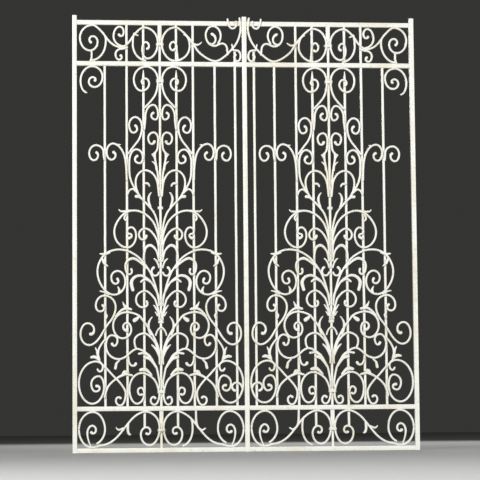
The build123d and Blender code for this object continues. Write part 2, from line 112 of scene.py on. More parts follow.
class NodeTree:
    """A node group or a material's nodes, put together one node at a time."""

    def __init__(self, tree: bpy.types.NodeTree) -> None:
        """Keep the tree.

        Args:
            tree: The empty tree to fill.
        """
        self.tree = tree

    def add(self, kind: str, inputs: dict | None = None, **settings: object) -> bpy.types.Node:
        """Add one node.

        Args:
            kind: The node's type name.
            inputs: A value or another node's socket for each input, by name or number.
            settings: The node's own options.

        Returns:
            The new node.
        """
        node = self.tree.nodes.new(kind)
        for option, value in settings.items():
            setattr(node, option, value)
        for name, value in (inputs or {}).items():
            if isinstance(value, Socket):
                self.tree.links.new(value, node.inputs[name])
            else:
                node.inputs[name].default_value = value
        return node

    def math(self, operation: str, *values: object) -> Socket:
        """One step of arithmetic.

        Args:
            operation: The operation's name, such as MULTIPLY.
            values: Its numbers or sockets, in order.

        Returns:
            The socket with the result.
        """
        return self.add("ShaderNodeMath", dict(enumerate(values)), operation=operation).outputs[0]

    def vector(self, operation: str, *values: object) -> Socket:
        """One step of vector arithmetic.

        Args:
            operation: The operation's name, such as SUBTRACT.
            values: Its vectors or sockets, in order.

        Returns:
            The socket with the resulting vector.
        """
        return self.add("ShaderNodeVectorMath", dict(enumerate(values)), operation=operation).outputs[0]

    def noise(self, place: Socket, scale: float, detail: float) -> Socket:
        """Noise of one scale.

        Args:
            place: Where the noise is read.
            scale: Cells in a metre.
            detail: Octaves of finer noise.

        Returns:
            The socket with the noise's value.
        """
        return self.add("ShaderNodeTexNoise", {"Vector": place, "Scale": scale, "Detail": detail}).outputs[0]

    def band(self, value: Socket, start: float, end: float) -> Socket:
        """Value that goes from 0 to 1 between two limits.

        Args:
            value: The value to read.
            start: Where the result leaves 0.
            end: Where the result reaches 1.

        Returns:
            The socket with the result.
        """
        return self.add("ShaderNodeMapRange", {"Value": value, "From Min": start, "From Max": end},
                        interpolation_type="SMOOTHSTEP").outputs[0]

    def mix(self, share: Socket, first: object, second: object) -> Socket:
        """Mix of two colours.

        Args:
            share: Share of the second colour.
            first: Colour or socket where the share is 0.
            second: Colour or socket where the share is 1.

        Returns:
            The socket with the mixed colour.
        """
        colours = [(*value, 1.0) if isinstance(value, tuple) else value for value in (first, second)]
        return self.add("ShaderNodeMix", {0: share, 6: colours[0], 7: colours[1]}, data_type="RGBA").outputs[2]


def put(name: str, data: bpy.types.ID) -> bpy.types.Object:
    """Put a new object into the scene.

    Args:
        name: Its name.
        data: Its mesh, curve, lamp or camera.

    Returns:
        The object, at the origin.
    """
    thing = bpy.data.objects.new(name, data)
    bpy.context.scene.collection.objects.link(thing)
    return thing


class ForgedBarTree:
    """Geometry Nodes tree that forges a bar along each line of a drawing."""

    sizes: dict[str, float] = {
        "Width": 6.8 * MM,
        "Depth": 8 * MM,
        "Squareness": 0.35,
        "Spacing": 2.6 * MM,
        "Tip length": 3.5 * MM,
        "Tip share": 0.4,
        "Crown": 0.0,
        "Unevenness": 0.5 * MM,
        "Section corners": 16,
    }
    wander_cells: float = 22.0

    def __init__(self) -> None:
        """Build the tree with its named inputs."""
        group = bpy.data.node_groups.new("forged_bar", "GeometryNodeTree")
        face = group.interface
        face.new_socket("Geometry", in_out="INPUT", socket_type="NodeSocketGeometry")
        face.new_socket("Geometry", in_out="OUTPUT", socket_type="NodeSocketGeometry")
        for name, size in self.sizes.items():
            kind = "NodeSocketInt" if isinstance(size, int) else "NodeSocketFloat"
            face.new_socket(name, in_out="INPUT", socket_type=kind).default_value = size
        for name, kind in (("Turn", "Vector"), ("Place", "Vector"), ("Paint", "Material")):
            face.new_socket(name, in_out="INPUT", socket_type="NodeSocket" + kind)
        self.group = group
        self.nodes = NodeTree(group)
        self.entry = group.nodes.new("NodeGroupInput").outputs
        swept = self._sweep(self._section())
        shaped = self._shape(swept)
        self._finish(shaped)

    def _section(self) -> Socket:
        """Rounded section of the bar.

        Returns:
            The socket with the section's closed line, as wide as across and as deep as up.
        """
        nodes, entry = self.nodes, self.entry
        ring = nodes.add("GeometryNodeCurvePrimitiveCircle", {"Resolution": entry["Section corners"], "Radius": 1.0})
        place = nodes.add("ShaderNodeSeparateXYZ", {0: nodes.add("GeometryNodeInputPosition").outputs[0]})
        edges = []
        for axis, size in (("X", "Width"), ("Y", "Depth")):
            share = nodes.math("POWER", nodes.math("ABSOLUTE", place.outputs[axis]), entry["Squareness"])
            signed = nodes.math("MULTIPLY", share, nodes.math("SIGN", place.outputs[axis]))
            edges.append(nodes.math("MULTIPLY", signed, nodes.math("MULTIPLY", entry[size], 0.5)))
        spot = nodes.add("ShaderNodeCombineXYZ", {"X": edges[0], "Y": edges[1]})
        moved = nodes.add("GeometryNodeSetPosition", {"Geometry": ring.outputs[0], "Position": spot.outputs[0]})
        return moved.outputs[0]

    def _sweep(self, section: Socket) -> bpy.types.Node:
        """Carry the section along the drawing, and note at each place what the shaping needs.

        Args:
            section: The socket with the section's line.

        Returns:
            The node that captured the notes, with the swept bar as input of the next step.
        """
        nodes, entry = self.nodes, self.entry
        line = nodes.add("GeometryNodeResampleCurve", {"Curve": entry["Geometry"], "Length": entry["Spacing"]},
                         mode="LENGTH")
        run = nodes.add("GeometryNodeSplineParameter").outputs["Length"]
        whole = nodes.add("GeometryNodeSplineLength").outputs["Length"]
        from_end = nodes.math("MINIMUM", run, nodes.math("SUBTRACT", whole, run))
        part = nodes.math("MINIMUM", nodes.math("DIVIDE", from_end, entry["Tip length"]), 1.0)
        inner = nodes.math("SUBTRACT", 1.0, part)
        round_tip = nodes.math("SQRT", nodes.math("SUBTRACT", 1.0, nodes.math("MULTIPLY", inner, inner)))
        tip = nodes.math("MAXIMUM", round_tip, entry["Tip share"])
        notes = nodes.add("GeometryNodeCaptureAttribute")
        for kind, name in (("VECTOR", "Middle"), ("FLOAT", "Swell"), ("FLOAT", "Tip")):
            notes.capture_items.new(kind, name)
        middle = nodes.add("GeometryNodeInputPosition").outputs[0]
        swell = nodes.add("GeometryNodeInputRadius").outputs[0]
        for name, value in (("Middle", middle), ("Swell", swell), ("Tip", tip)):
            nodes.tree.links.new(value, notes.inputs[name])
        nodes.tree.links.new(line.outputs[0], notes.inputs[0])
        even = nodes.add("GeometryNodeSetCurveRadius", {0: notes.outputs[0], "Radius": 1.0})
        level = nodes.add("GeometryNodeSetCurveNormal", {0: even.outputs[0]}, mode="Z_UP")
        self.swept = nodes.add("GeometryNodeCurveToMesh", {0: level.outputs[0], 1: section, "Fill Caps": True})
        return notes

    def _shape(self, notes: bpy.types.Node) -> Socket:
        """Widen, taper and crown the swept bar.

        Args:
            notes: The node that captured the middle line, the swelling and the tips.

        Returns:
            The socket with the shaped bar.
        """
        nodes, entry = self.nodes, self.entry
        here = nodes.add("GeometryNodeInputPosition").outputs[0]
        offset = nodes.add("ShaderNodeSeparateXYZ", {0: nodes.vector("SUBTRACT", here, notes.outputs["Middle"])})
        width = nodes.math("MULTIPLY", notes.outputs["Swell"], notes.outputs["Tip"])
        flat = nodes.add("ShaderNodeCombineXYZ", {"X": offset.outputs["X"], "Y": offset.outputs["Y"]})
        reach = nodes.add("ShaderNodeVectorMath", {0: flat.outputs[0]}, operation="LENGTH").outputs["Value"]
        across = nodes.math("DIVIDE", nodes.math("MULTIPLY", reach, 2.0), entry["Width"])
        dome = nodes.math("SUBTRACT", 1.0, nodes.math("MULTIPLY", across, across))
        fore = nodes.math("MAXIMUM", nodes.math("DIVIDE", offset.outputs["Z"], entry["Depth"]), 0.0)
        crown = nodes.math("MULTIPLY", nodes.math("MULTIPLY", dome, fore), entry["Crown"])
        height = nodes.math("ADD", offset.outputs["Z"], nodes.math("MULTIPLY", crown, notes.outputs["Tip"]))
        spread = nodes.add("ShaderNodeVectorMath", {0: flat.outputs[0], "Scale": width}, operation="SCALE").outputs[0]
        lift = nodes.add("ShaderNodeCombineXYZ", {"Z": height}).outputs[0]
        place = nodes.vector("ADD", nodes.vector("ADD", notes.outputs["Middle"], spread), lift)
        wander = nodes.add("ShaderNodeTexNoise", {"Vector": notes.outputs["Middle"], "Scale": self.wander_cells,
                                                  "Detail": 1.0}, noise_dimensions="3D").outputs["Color"]
        sway = nodes.add("ShaderNodeVectorMath", {0: nodes.vector("SUBTRACT", wander, (0.5, 0.5, 0.5)),
                                                  "Scale": entry["Unevenness"]}, operation="SCALE").outputs[0]
        sideways = nodes.vector("MULTIPLY", sway, (2.0, 2.0, 0.0))
        return nodes.add("GeometryNodeSetPosition", {"Geometry": self.swept.outputs[0],
                                                     "Position": nodes.vector("ADD", place, sideways)}).outputs[0]

    def _finish(self, shaped: Socket) -> None:
        """Stand the bar up in its place, realize it and paint it.

        Args:
            shaped: The socket with the shaped bar.
        """
        nodes, entry = self.nodes, self.entry
        stood = nodes.add("GeometryNodeTransform", {"Geometry": shaped, "Rotation": entry["Turn"],
                                                    "Translation": entry["Place"]})
        smooth = nodes.add("GeometryNodeSetShadeSmooth", {0: stood.outputs[0]})
        real = nodes.add("GeometryNodeRealizeInstances", {0: smooth.outputs[0]})
        painted = nodes.add("GeometryNodeSetMaterial", {"Geometry": real.outputs[0], "Material": entry["Paint"]})
        leave = self.group.nodes.new("NodeGroupOutput")
        self.group.links.new(painted.outputs[0], leave.inputs[0])

    def forge(self, name: str, drawing: bpy.types.Curve, paint: bpy.types.Material, depth_middle: float,
              plane: Plane = Plane.UPRIGHT, **sizes: float) -> bpy.types.Object:
        """Forge the bars of one drawing into a plain mesh piece.

        Args:
            name: Name of the finished piece.
            drawing: Lines in metres, drawn as seen from the front or from above.
            paint: Finish of the piece.
            depth_middle: Middle of the bars through the depth, or their height if they lie level, in mm.
            plane: Plane that the bars lie in.
            sizes: Inputs of the tree that differ from their usual sizes, with _ for a space.

        Returns:
            The finished piece, at the origin.
        """
        source = put(name + "_drawing", drawing)
        modifier = source.modifiers.new("forged_bar", "NODES")
        modifier.node_group = self.group
        turn, way = plane.value
        values: dict[str, object] = {key.replace("_", " "): value for key, value in sizes.items()}
        values |= {"Turn": turn, "Place": tuple(depth_middle * step for step in way), "Paint": paint}
        for item in self.group.interface.items_tree:
            if item.in_out == "INPUT" and item.name in values:
                modifier[item.identifier] = values[item.name]
        evaluated = source.evaluated_get(bpy.context.evaluated_depsgraph_get())
        mesh = bpy.data.meshes.new_from_object(evaluated)
        mesh.name = name
        source.modifiers.remove(modifier)
        bpy.data.objects.remove(source)
        return put(name, mesh)


@dataclass(frozen=True)
class Enamel:
    """Thick brushed enamel on iron, with brush marks, a faint yellowing, grime in it and small bare specks.

    A noise is its cells in a metre and its octaves. A band is where an effect begins and where it is full.
    """

    name: str
    fresh: Triple = (0.93, 0.925, 0.86)
    yellowed: Triple = (0.87, 0.83, 0.70)
    grime: Triple = (0.42, 0.39, 0.32)
    rust: Triple = (0.23, 0.10, 0.045)
    cloud_noise: Spot = (9.0, 4.0)
    stain_noise: Spot = (60.0, 6.0)
    speck_noise: Spot = (210.0, 3.0)
    peel_noise: Spot = (900.0, 2.0)
    brush_noise: Spot = (1.0, 2.0)
    brush_marks: Triple = (500.0, 500.0, 40.0)
    yellow_band: Spot = (0.42, 0.72)
    grime_band: Spot = (0.55, 0.8)
    grime_share: float = 0.45
    bare_band: Spot = (0.5, 0.6)
    rust_band: Spot = (0.735, 0.765)
    roughness: float = 0.23
    rougher: float = 0.22
    brush_height: float = 0.6
    peel_height: float = 0.4

    def make(self) -> bpy.types.Material:
        """Make the material.

        Returns:
            The node material of this enamel.
        """
        material = bpy.data.materials.new(self.name)
        material.use_nodes = True
        material.node_tree.nodes.clear()
        nodes = NodeTree(material.node_tree)
        place = nodes.add("ShaderNodeTexCoord").outputs["Object"]
        clouds = nodes.noise(place, *self.cloud_noise)
        stains = nodes.noise(place, *self.stain_noise)
        specks = nodes.noise(place, *self.speck_noise)
        peel = nodes.noise(place, *self.peel_noise)
        marks = nodes.add("ShaderNodeMapping", {"Vector": place, "Scale": self.brush_marks}).outputs[0]
        brush = nodes.noise(marks, *self.brush_noise)
        aged = nodes.mix(nodes.band(clouds, *self.yellow_band), self.fresh, self.yellowed)
        dirt = nodes.math("MULTIPLY", nodes.band(stains, *self.grime_band), self.grime_share)
        bare = nodes.math("MULTIPLY", nodes.band(specks, *self.rust_band), nodes.band(clouds, *self.bare_band))
        colour = nodes.mix(bare, nodes.mix(dirt, aged, self.grime), self.rust)
        rough = nodes.math("ADD", nodes.math("MULTIPLY", stains, self.rougher), self.roughness)
        relief = nodes.math("ADD", nodes.math("MULTIPLY", brush, self.brush_height),
                            nodes.math("MULTIPLY", peel, self.peel_height))
        pitted = nodes.math("SUBTRACT", relief, bare)
        bump = nodes.add("ShaderNodeBump", {"Height": pitted, "Strength": 0.35, "Distance": 0.0004})
        shader = nodes.add("ShaderNodeBsdfPrincipled", {"Base Color": colour, "Roughness": rough,
                                                        "Normal": bump.outputs[0], "Specular IOR Level": 0.5,
                                                        "Coat Weight": 0.12, "Coat Roughness": 0.25})
        nodes.add("ShaderNodeOutputMaterial", {"Surface": shader.outputs[0]})
        return material


@dataclass
class Drawing:
    """Lines of bars, drawn in mm and stored as one curve in metres."""

    name: str
    usual_width: float = 6.8
    smoothness: int = 20
    corner_turn: int = 30
    curve: bpy.types.Curve = field(init=False)

    def __post_init__(self) -> None:
        """Start the empty curve."""
        self.curve = bpy.data.curves.new(self.name, "CURVE")
        self.curve.dimensions = "3D"
        self.curve.resolution_u = self.smoothness

    def line(self, spots: list[Spot], closed: bool = False) -> None:
        """Draw a bar of one width through its corners.

        Args:
            spots: Its corners, across and up, in mm.
            closed: Whether it ends where it began.
        """
        spline = self.curve.splines.new("POLY")
        spline.points.add(len(spots) - 1)
        for point, (x, y) in zip(spline.points, spots):
            point.co = (x * MM, y * MM, 0.0, 1.0)
            point.radius = 1.0
        spline.use_cyclic_u = closed

    def loop(self, middle: Spot, across: float, deep: float, corner: float) -> None:
        """Draw a closed rounded rectangle, as a strap goes round a bar.

        Args:
            middle: Its middle, in mm.
            across: Half of its width.
            deep: Half of its depth.
            corner: Radius of its corners.
        """
        spots = []
        for turn, (sx, sy) in zip((E, N, W, S), ((1, 1), (-1, 1), (-1, -1), (1, -1))):
            for degrees in range(turn, turn + 91, self.corner_turn):
                angle = math.radians(degrees)
                spots.append((middle[0] + sx * (across - corner) + corner * math.cos(angle),
                              middle[1] + sy * (deep - corner) + corner * math.sin(angle)))
        self.line(spots, closed=True)

    def bent(self, stations: Stroke, centre: float, side: int) -> None:
        """Draw a bent bar through its stations.

        Args:
            stations: Places that it passes through: across, up, heading and perhaps width.
            centre: Place of the panel's centre bar, in mm.
            side: 1 as drawn, or -1 turned over about the centre bar.
        """
        spline = self.curve.splines.new("BEZIER")
        spline.bezier_points.add(len(stations) - 1)
        placed = []
        for across, up, heading, *width in stations:
            angle = math.radians(heading)
            ahead = Vector((side * math.cos(angle), math.sin(angle), 0.0))
            placed.append((Vector((centre + side * across, up, 0.0)), ahead, width[0] if width else self.usual_width))
        reaches = [self._reach(*pair) for pair in zip(stations, stations[1:])]
        before = [reaches[0][0], *(reach[1] for reach in reaches)]
        after = [*(reach[0] for reach in reaches), reaches[-1][1]]
        for point, (spot, ahead, width), back, front in zip(spline.bezier_points, placed, before, after):
            point.handle_left_type = point.handle_right_type = "FREE"
            point.co = spot * MM
            point.handle_left = (spot - ahead * back) * MM
            point.handle_right = (spot + ahead * front) * MM
            point.radius = width / self.usual_width

    @staticmethod
    def _reach(first: Station, last: Station) -> Spot:
        """Lengths of the handles that make a stretch a piece of an ellipse, or an S.

        Args:
            first: Station at the start of the stretch.
            last: Station at its end.

        Returns:
            The handle's length at the start and at the end, in mm.
        """
        span = math.hypot(last[0] - first[0], last[1] - first[1])
        chord = math.degrees(math.atan2(last[1] - first[1], last[0] - first[0]))
        lean_in = (chord - first[2] + 180) % 360 - 180
        lean_out = (last[2] - chord + 180) % 360 - 180
        if lean_in * lean_out <= 0:
            return EVEN_HANDLE * span, EVEN_HANDLE * span
        quarter = math.radians(abs(lean_in) + abs(lean_out)) / 4
        whole = span * 2 / 3 * math.tan(quarter) / math.sin(2 * quarter) ** 2
        return whole * math.sin(math.radians(abs(lean_out))), whole * math.sin(math.radians(abs(lean_in)))


@dataclass
class SubAssembly:
    """A part of the grille that is forged and dressed together."""

    layout: Layout
    forge: ForgedBarTree
    paint: bpy.types.Material
    ending: str = "_forged"

    def forged(self, node: str, drawing: Drawing, middle: float, width: float, deep: float, **sizes: float) -> None:
        """Forge the upright bars of one drawing, and dress them as one piece.

        Args:
            node: The node that the piece stands for.
            drawing: The bars' lines.
            middle: Middle of the bars through the depth, in mm.
            width: Their usual width.
            deep: Their depth.
            sizes: Other inputs of the tree that differ from their usual sizes.
        """
        piece = self.forge.forge(node + self.ending, drawing.curve, self.paint, middle, Width=width * MM,
                                 Depth=deep * MM, **sizes)
        self.dress(piece, node)

    def dress(self, piece: bpy.types.Object, node: str) -> None:
        """Make a finished piece stand for its node, and report it.

        Args:
            piece: The finished piece.
            node: The node that it stands for.
        """
        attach(piece, "root")
        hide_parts(node)
        log.info("%s: %d faces", piece.name, len(piece.data.polygons))


@dataclass
class Frame(SubAssembly):
    """Stiles, mullion and rails of both panels, from square bar with softly rounded edges."""

    stile_width: float = 16.0
    mullion_width: float = 16.0
    top_rail_setback: float = 4.0
    ending: str = "_bar"

    def build(self) -> None:
        """Forge every member of the frame."""
        square = {"Squareness": 0.16, "Spacing": 12 * MM, "Tip_share": 1.0, "Unevenness": 0.0}
        layout, depths = self.layout, self.layout.depths
        deep = depths.frame_back - depths.frame_front
        middle = (depths.frame_back + depths.frame_front) / 2
        reach = 2 * layout.panel_reach
        for name, place, width in (("left_stile", -reach, self.stile_width), ("right_stile", reach, self.stile_width),
                                   ("mullion", 0.0, self.mullion_width)):
            drawing = Drawing(name)
            drawing.line([(place, 0.0), (place, layout.height)])
            self.forged(name, drawing, middle, width, deep, **square)
        ends = (self.mullion_width / 2, reach - self.stile_width / 2)
        for name, line in (("bottom_rails", layout.bottom_line), ("lower_cross_rails", layout.lower_line),
                           ("upper_cross_rails", layout.upper_line), ("top_rails", layout.top_line)):
            drawing = Drawing(name)
            drawing.line([(-ends[1], line), (-ends[0], line)])
            drawing.line([(ends[0], line), (ends[1], line)])
            setback = self.top_rail_setback if name == "top_rails" else 0.0
            self.forged(name, drawing, middle + setback / 2, layout.rail_height, deep - setback, **square)


@dataclass
class UprightBars(SubAssembly):
    """Square bars between the rails, and the short and headed bars of the friezes."""

    bar_size: float = 8.0
    head_width: float = 14.0
    head_length: float = 46.0
    point_drop: float = 14.0
    point_length: float = 22.0
    point_width: float = 2.0
    swell_below: float = 6.0
    swell_above: float = 2.0
    hanging_stub: float = 56.0
    standing_stub: float = 40.0

    def build(self) -> None:
        """Forge every set of bars."""
        layout = self.layout
        half = layout.rail_height / 2
        foot, head = layout.lower_line + half, layout.upper_line - half
        frieze_foot, frieze_head = layout.upper_line + half, layout.top_line - half
        stub_head = layout.lower_line - half
        beside = [layout.mullion_bar - layout.panel_reach, layout.panel_reach - layout.mullion_bar]
        self._set("centre_bars", [-layout.panel_reach, layout.panel_reach], foot, head)
        tip = head - self.point_drop
        self._shaped("first_bars", layout.pitches(layout.first_bar),
                     [(0, foot, N), (0, tip - self.point_length, N), (0, tip, N, self.point_width)])
        self._set("second_bars", layout.pitches(layout.second_bar), foot, head)
        self._set("third_bars", layout.pitches(layout.third_bar), foot, head)
        self._set("mullion_side_bars", beside, foot, head)
        self._set("top_frieze_bars", layout.pitches(layout.first_bar, layout.second_bar), frieze_foot, frieze_head)
        self._set("mullion_stubs", beside, frieze_foot, frieze_foot + self.standing_stub)
        self._set("bottom_frieze_stubs", layout.pitches(layout.first_bar), stub_head - self.hanging_stub, stub_head)
        self._shaped("frieze_centre_bars", [-layout.panel_reach, layout.panel_reach],
                     self._headed(layout.bottom_line + half, stub_head), self._headed(frieze_foot, frieze_head))

    def _set(self, name: str, places: list[float], bottom: float, top: float) -> None:
        """Forge one set of equal bars.

        Args:
            name: The node's name.
            places: Places along the grille, in mm.
            bottom: Height of the feet.
            top: Height of the heads.
        """
        drawing = Drawing(name)
        for place in places:
            drawing.line([(place, bottom), (place, top)])
        self._bars(name, drawing)

    def _shaped(self, name: str, places: list[float], *bars: Stroke) -> None:
        """Forge one set of bars whose width changes along them.

        Args:
            name: The node's name.
            places: Places along the grille, in mm.
            bars: Stations of each bar that stands at every place.
        """
        drawing = Drawing(name, self.bar_size)
        for place in places:
            for bar in bars:
                drawing.bent(bar, place, 1)
        self._bars(name, drawing)

    def _headed(self, foot: float, head: float) -> Stroke:
        """Stations of a frieze's centre bar, with a wider head that swells out of it.

        Args:
            foot: Top of the rail below.
            head: Underside of the rail above.

        Returns:
            The bar's stations.
        """
        shoulder = head - self.head_length
        return [(0, foot, N), (0, shoulder - self.swell_below, N), (0, shoulder + self.swell_above, N, self.head_width),
                (0, head, N, self.head_width)]

    def _bars(self, name: str, drawing: Drawing) -> None:
        """Forge square bars along a drawing and dress them.

        Args:
            name: The node's name.
            drawing: The bars' lines.
        """
        middle = (self.layout.depths.bar_front + self.layout.depths.bar_back) / 2
        self.forged(name, drawing, middle, self.bar_size, self.bar_size, Squareness=0.22, Spacing=6 * MM, Tip_share=1.0)


@dataclass
class Scrollwork(SubAssembly):
    """Forged scrolls, curls and leaves in front of the bars, each design on every half-panel that has it."""

    flat_width: float = 6.8
    flat_depth: float = 8.0

    def design(self, node: str, strokes: list[Stroke], half: Half = Half.BOTH,
               crown: float = FLAT_CROWN) -> None:
        """Forge one design and dress it.

        Args:
            node: The node's name.
            strokes: Its bent bars, drawn as the left half of a panel. A design of the inner half alone is
                drawn as seen on the right half.
            half: Halves of a panel that have it.
            crown: How far its front is domed, in mm.
        """
        drawing = Drawing(node, self.flat_width)
        reach = self.layout.panel_reach
        lift = self.layout.bottom_line
        copies = [(-reach, 1), (reach, -1)]
        if half is Half.BOTH:
            copies += [(-reach, -1), (reach, 1)]
        for stroke in strokes:
            raised = [(across, up + lift, *rest) for across, up, *rest in stroke]
            for centre, side in copies:
                drawing.bent(raised, centre, side)
        depths = self.layout.depths
        middle = (depths.scroll_front + depths.bar_front) / 2
        self.forged(node, drawing, middle, self.flat_width, self.flat_depth, Crown=2 * crown * MM)

    def build(self) -> None:
        """Forge every design, from the top frieze down."""
        self.top_frieze()
        self.head()
        self.middle()
        self.foot()
        self.bottom_frieze()

    def top_frieze(self) -> None:
        """Scrolls between the upper cross rail and the top rail."""
        self.design("top_frieze_s_scrolls", [
            [(-240, 1427, 135, EYE), (-248, 1439, N), (-236, 1452, E), (-219, 1432, S), (-246, 1401, W),
             (-281, 1446, N), (-236, 1492, E), (-186, 1444, 305), (-137, 1414, E), (-101, 1443, 58),
             (-55, 1485, E), (-7, 1432, S), (-43, 1374, W), (-62, 1406, N), (-50, 1433, E),
             (-38, 1418, S), (-48, 1409, 170, EYE)],
            [(-201, 1468, 302, 4), (-190, 1435, S), (-240, 1367, W)],
            [(-88, 1466, 225), (-95, 1425, S), (-48, 1367, E)],
            [(-240, 1400, S), (-240, 1380, S), (-246, 1362, 240)],
        ], Half.OUTER)
        self.design("top_frieze_c_scrolls", [
            [(-144, 1462, S, EYE), (-136, 1453, E), (-127, 1468, N), (-141, 1487, W), (-163, 1452, S), (-125, 1417, E)],
            [(-112, 1414, 190), (-135, 1408, W), (-156, 1388, S), (-143, 1369, E), (-134, 1379, N),
             (-141, 1386, 150, EYE)],
            [(-94, 1462, 340, 5), (-75, 1456, E, 6)],
        ], Half.OUTER)
        self.design("top_frieze_sweeping_scrolls", [
            [(84, 1461, E), (106, 1420, S), (52, 1367, W)],
            [(52, 1367, W), (7, 1430, N), (56, 1486, E), (113, 1436, 308), (144, 1393, 320), (197, 1367, E),
             (260, 1415, 50), (287, 1484, 87), (283, 1524, 98)],
            [(63, 1367, N), (60, 1412, N), (48, 1434, W), (36, 1418, S), (46, 1404, E), (54, 1410, 60, EYE)],
            [(110, 1439, 300), (118, 1428, 340), (134, 1424, E), (149, 1434, 40, 4)],
        ], Half.INNER)
        self.design("top_frieze_rings", [
            [(181, 1464, E, EYE), (198, 1444, S), (184, 1427, 190), (163, 1460, N), (189, 1492, E), (216, 1457, S),
             (205, 1429, 230)],
            [(170, 1434, 305), (193, 1421, E), (222, 1430, E), (239, 1408, S), (241, 1388, S)],
        ], Half.INNER)
        self.design("top_frieze_hooks", [
            [(241, 1520, S), (258, 1484, E), (272, 1502, N), (269, 1511, 120, EYE)],
        ], Half.INNER)
        self.design("mullion_volutes", [
            [(258, 1406, 20), (276, 1405, 350), (286, 1385, S), (275, 1367, W), (264, 1382, N), (271, 1392, 30, EYE)],
            [(255, 1429, 280, 5), (262, 1403, 290)],
        ], Half.INNER)

    def head(self) -> None:
        """Head of the main field, from the upper cross rail to the hearts."""
        self.design("corner_scrolls", [
            [(-231, 1291, 50, EYE), (-226, 1298, N), (-236, 1306, W), (-250, 1290, S), (-230, 1271, E),
             (-202, 1308, N), (-238, 1345, W), (-279, 1292, S), (-256, 1251, E, 6)],
        ], Half.OUTER)
        self.design("head_scrolls", [
            [(-55, 1281, 150, EYE), (-64, 1292, N), (-52, 1303, E), (-38, 1285, S), (-65, 1259, W), (-92, 1300, N),
             (-48, 1345, E), (-7, 1296, S), (-20, 1239, 240), (-56, 1197, 225)],
        ])
        self.design("head_curls", [
            [(-20, 1181, 180, 10), (-31, 1171, S), (-16, 1157, E), (-7, 1176, N), (-24, 1209, W), (-52, 1165, S),
             (-56, 1120, 265)],
        ])
        self.design("shoulder_scrolls", [
            [(-91, 1135, 20, EYE), (-81, 1123, S), (-95, 1110, W), (-109, 1137, N), (-87, 1165, E), (-64, 1130, S),
             (-84, 1073, 230), (-114, 1034, 230)],
        ])
        self.design("throat_curls", [
            [(-20, 1083, S, EYE), (-30, 1070, W), (-42, 1091, N), (-23, 1111, E), (-7, 1086, S), (-9, 1058, 265),
             (-18, 1040, 225), (-31, 1033, 200, 3)],
            [(-30, 1033, 345, 4), (-19, 1020, 300), (-11, 975, 280, 7), (-7, 925, S, 6)],
            [(-30, 1009, 340, 3), (-20, 1001, 310, 6), (-13, 975, 290, 6)],
            [(-12, 1052, 250, 3), (-20, 1030, 265, 10), (-14, 990, 280, 5)],
        ])
        self.design("bar_volutes", [
            [(-227, 1040, E, EYE), (-218, 1029, S), (-233, 1012, W), (-249, 1037, N), (-225, 1065, E),
             (-199, 1040, S), (-196, 1012, 280)],
        ])
        self.design("side_volutes", [
            [(-168, 1041, E, EYE), (-157, 1030, S), (-172, 1014, W), (-188, 1041, N), (-166, 1071, E),
             (-129, 1037, 292), (-119, 970, 272), (-118, 940, S)],
            [(-150, 1067, 0, 6), (-139, 1068, 10, 4)],
        ])
        self.design("neck_scrolls", [
            [(-77, 1028, W, EYE), (-89, 1014, S), (-73, 1002, E), (-61, 1022, N), (-84, 1051, W), (-109, 1005, S),
             (-107, 955, 280), (-82, 902, 308)],
        ])

    def middle(self) -> None:
        """Middle of the main field, from the hearts to the buds."""
        self.design("heart_scrolls", [
            [(-5, 884, 95), (-9, 925, 97), (-52, 977, W), (-87, 935, S), (-62, 873, 315), (-24, 829, 300),
             (-7, 768, 278), (-7, 732, S, STEM)],
            [(-115, 890, N), (-97, 911, E), (-76, 893, 315)],
        ])
        self.design("heart_leaves", [
            [(-90, 885, E, 11), (-75, 884, 345, 10), (-60, 872, 320, 6)],
            [(-58, 931, E, 7), (-46, 931, 350, 8), (-38, 919, 280, 6)],
            [(-31, 899, 215, 4), (-42, 875, S, 9), (-33, 845, 295, 6)],
        ], crown=LEAF_CROWN)
        self.design("upper_roundels", [
            [(-115, 737, 10, EYE), (-101, 746, N), (-108, 753, 190), (-117, 763, N), (-103, 776, E), (-86, 748, S),
             (-117, 705, W), (-162, 760, N), (-140, 812, 50), (-88, 835, 355), (-30, 800, 308), (-7, 738, 280),
             (-7, 705, S, STEM)],
            [(-146, 840, 290, 4), (-134, 832, E), (-100, 835, E)],
            [(-118, 822, 215, 6), (-127, 808, S), (-120, 798, 320, 6)],
        ])
        self.design("upper_buds", [
            [(-50, 750, S, EYE), (-63, 733, W), (-76, 750, N), (-54, 772, E), (-21, 746, 303), (-8, 712, 280),
             (-7, 668, S, STEM)],
        ])
        self.design("hooked_leaves", [
            [(-60, 660, N, 6), (-57, 692, 80, 9), (-37, 713, E, 10), (-15, 693, 300), (-6, 655, 280, 6)],
            [(-25, 667, 325, 5), (-14, 656, 300), (-6, 632, 280, 6)],
        ], crown=LEAF_CROWN)
        self.design("middle_roundels", [
            [(-150, 599, 225, EYE), (-148, 586, 265), (-159, 578, W), (-173, 600, N), (-151, 623, E), (-124, 585, S),
             (-164, 540, W), (-203, 566, 125), (-221, 622, N), (-200, 676, 50), (-145, 698, E), (-80, 673, 322),
             (-41, 625, 303), (-10, 532, 282), (-7, 500, S, STEM)],
            [(-214, 684, 335, 4), (-197, 682, E, 9), (-176, 688, 20)],
            [(-214, 553, 345, 4), (-196, 549, 340), (-180, 541, 345)],
            [(-204, 668, 280), (-197, 650, 300, 10), (-184, 639, 325, 4)],
            [(-151, 569, 300, 4), (-145, 556, S, 10), (-150, 542, 235, 6)],
        ])
        self.design("inner_hooks", [
            [(-106, 631, E, 10), (-101, 621, S), (-110, 611, W), (-124, 640, N), (-97, 667, E, 10), (-62, 645, 318),
             (-51, 631, 312)],
        ])
